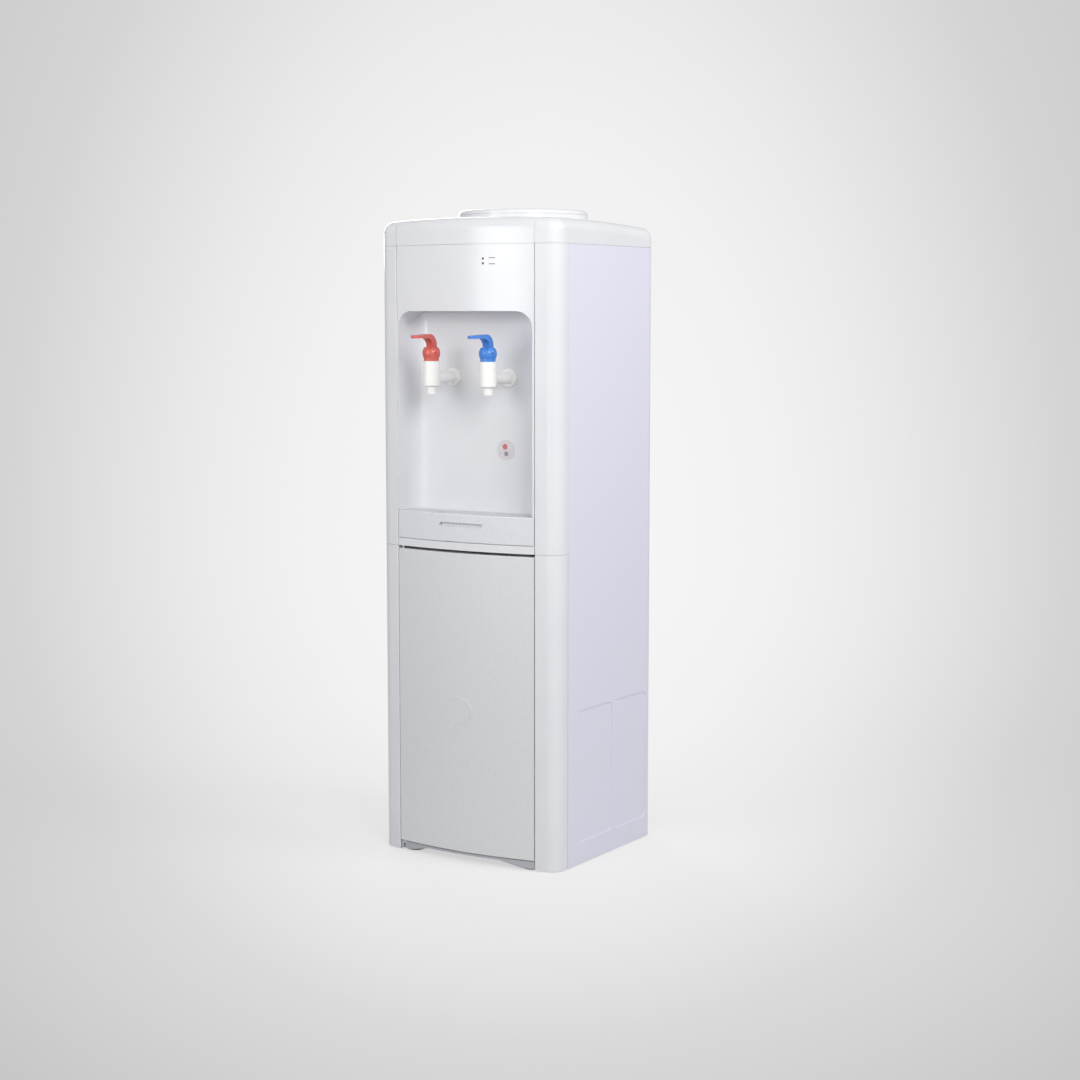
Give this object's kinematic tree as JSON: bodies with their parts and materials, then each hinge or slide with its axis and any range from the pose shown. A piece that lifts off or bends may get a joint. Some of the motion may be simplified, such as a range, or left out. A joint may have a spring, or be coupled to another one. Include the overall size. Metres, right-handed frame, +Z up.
{
  "type": "top load water cooler",
  "caption": "Free-standing hot and cold water dispenser with a bottle seat on top, two lever taps in a bay, a drip tray and a storage cupboard below.",
  "frame": {"origin": "middle of the overall footprint (tap levers in front, condenser and drain behind) on the floor", "axes": "+Z up, -Y towards the person at the taps, +X to the right seen from the front"},
  "size_m": [0.31, 0.365, 0.951],
  "materials": {
    "fascia_plastic": "satin white moulding",
    "cover_plastic": "satin white moulding",
    "pillar_plastic": "satin white moulding",
    "side_paint": "powder coated sheet steel",
    "door_plastic": "light silver grey moulding",
    "base_plastic": "light grey moulding",
    "tray_plastic": "satin white moulding",
    "grille_plastic": "grey moulding",
    "tap_white": "warm white moulding",
    "tap_red": "red moulding",
    "tap_blue": "blue moulding",
    "valve_plastic": "natural acetal with silicone seal",
    "spring_steel": "stainless wire",
    "pin_steel": "stainless steel",
    "lens_plastic": "smoked lens",
    "badge_plastic": "printed disc",
    "liner_plastic": "white moulding",
    "seat_plastic": "satin white moulding",
    "galvanised": "galvanised sheet",
    "stainless": "stainless sheet",
    "foam": "expanded foam",
    "rubber": "black rubber",
    "silicone": "translucent silicone",
    "copper": "drawn copper",
    "black_paint": "black enamel",
    "black_plastic": "black moulding",
    "rocker_red": "red rocker",
    "rocker_green": "green rocker",
    "mica": "heater band"
  },
  "bodies": {
    "cabinet": {"base_plinth": "base_plastic", "rubber_feet": "rubber", "side_panel_left": "side_paint", "side_panel_right": "side_paint", "rear_panel": "galvanised", "top_cover": "cover_plastic", "upper_front_panel": "fascia_plastic", "upper_pillar_left": "pillar_plastic", "upper_pillar_right": "pillar_plastic", "lower_pillar_left": "pillar_plastic", "lower_pillar_right": "pillar_plastic", "cupboard_liner": "liner_plastic", "door_hinge_pins": "pin_steel", "magnet_catch": "base_plastic", "indicator_lenses": "lens_plastic", "bay_badge": "badge_plastic", "hot_tap_body": "tap_white", "cold_tap_body": "tap_white", "hot_tap_bonnet": "tap_red", "cold_tap_bonnet": "tap_blue", "tap_lever_pins": "pin_steel", "tap_springs": "spring_steel", "tap_locknuts": "valve_plastic", "seat_gasket": "silicone", "cold_tank": "stainless", "tank_baffle": "liner_plastic", "cold_tank_foam": "foam", "evaporator_coil": "copper", "tank_platforms": "galvanised", "hot_tank": "stainless", "hot_tank_foam": "foam", "heater_band": "mica", "hot_thermostats": "black_plastic", "water_hoses": "silicone", "drain_pipe": "silicone", "compressor": "black_paint", "compressor_mounts": "rubber", "terminal_cover": "black_plastic", "refrigerant_lines": "copper", "condenser_tube": "black_paint", "condenser_wires": "black_paint", "condenser_brackets": "galvanised", "switch_housings": "black_plastic", "cold_thermostat": "black_plastic", "cord_gland": "black_plastic", "panel_screws": "pin_steel"},
    "cupboard_door": {"door_panel": "door_plastic", "door_inner_panel": "liner_plastic", "striker_plate": "stainless"},
    "drip_tray_body": {"drip_tray": "tray_plastic"},
    "drip_grille_body": {"drip_grille": "grille_plastic"},
    "hot_lever": {"hot_tap_lever": "tap_red"},
    "cold_lever": {"cold_tap_lever": "tap_blue"},
    "hot_plunger": {"hot_tap_plunger": "valve_plastic"},
    "cold_plunger": {"cold_tap_plunger": "valve_plastic"},
    "bottle_seat_body": {"bottle_seat": "seat_plastic"},
    "hot_rocker": {"hot_switch_rocker": "rocker_red"},
    "cold_rocker": {"cold_switch_rocker": "rocker_green"},
    "thermostat_knob_body": {"thermostat_knob": "black_plastic"},
    "drain_cap_body": {"drain_cap": "base_plastic"}
  },
  "joints": [
    {"name": "cupboard_door_swing", "type": "hinge", "parent": "cabinet", "child": "cupboard_door", "pos_m": [-0.111, -0.123, 0.2355], "axis": [0, 0, 1], "range_deg": [-100, 0]},
    {"name": "drip_tray_slide", "type": "slide", "parent": "cabinet", "child": "drip_tray_body", "axis": [0, -1, 0], "range_m": [0, 0.06]},
    {"name": "drip_grille_lift", "type": "slide", "parent": "drip_tray_body", "child": "drip_grille_body", "axis": [0, 0, 1], "range_m": [0, 0.04]},
    {"name": "hot_lever_press", "type": "hinge", "parent": "cabinet", "child": "hot_lever", "pos_m": [-0.049, -0.1425, 0.744], "axis": [1, 0, 0], "range_deg": [0, 25], "stiffness_Nm_per_rad": 0.15, "springref_deg": -20.05},
    {"name": "cold_lever_press", "type": "hinge", "parent": "cabinet", "child": "cold_lever", "pos_m": [0.049, -0.1425, 0.744], "axis": [1, 0, 0], "range_deg": [0, 25], "stiffness_Nm_per_rad": 0.15, "springref_deg": -20.05},
    {"name": "hot_plunger_lift", "type": "slide", "parent": "cabinet", "child": "hot_plunger", "axis": [0, 0, 1], "range_m": [0, 0.00196], "deforming": ["tap_springs"]},
    {"name": "cold_plunger_lift", "type": "slide", "parent": "cabinet", "child": "cold_plunger", "axis": [0, 0, 1], "range_m": [0, 0.00196]},
    {"name": "bottle_seat_lift", "type": "slide", "parent": "cabinet", "child": "bottle_seat_body", "axis": [0, 0, 1], "range_m": [0, 0.06]},
    {"name": "hot_switch_rock", "type": "hinge", "parent": "cabinet", "child": "hot_rocker", "pos_m": [0.098, 0.1573, 0.84], "axis": [1, 0, 0], "range_deg": [0, 16]},
    {"name": "cold_switch_rock", "type": "hinge", "parent": "cabinet", "child": "cold_rocker", "pos_m": [0.098, 0.1573, 0.8], "axis": [1, 0, 0], "range_deg": [0, 16]},
    {"name": "thermostat_turn", "type": "hinge", "parent": "cabinet", "child": "thermostat_knob_body", "pos_m": [0.098, 0.1665, 0.752], "axis": [0, 1, 0], "range_deg": [0, 270]},
    {"name": "drain_cap_pull", "type": "slide", "parent": "cabinet", "child": "drain_cap_body", "axis": [0, 1, 0], "range_m": [0, 0.025]}
  ],
  "couplings": [
    {"joint": "hot_lever_press", "follows": "hot_plunger_lift", "rad_per_m": 222.22},
    {"joint": "cold_lever_press", "follows": "cold_plunger_lift", "rad_per_m": 222.22}
  ]
}
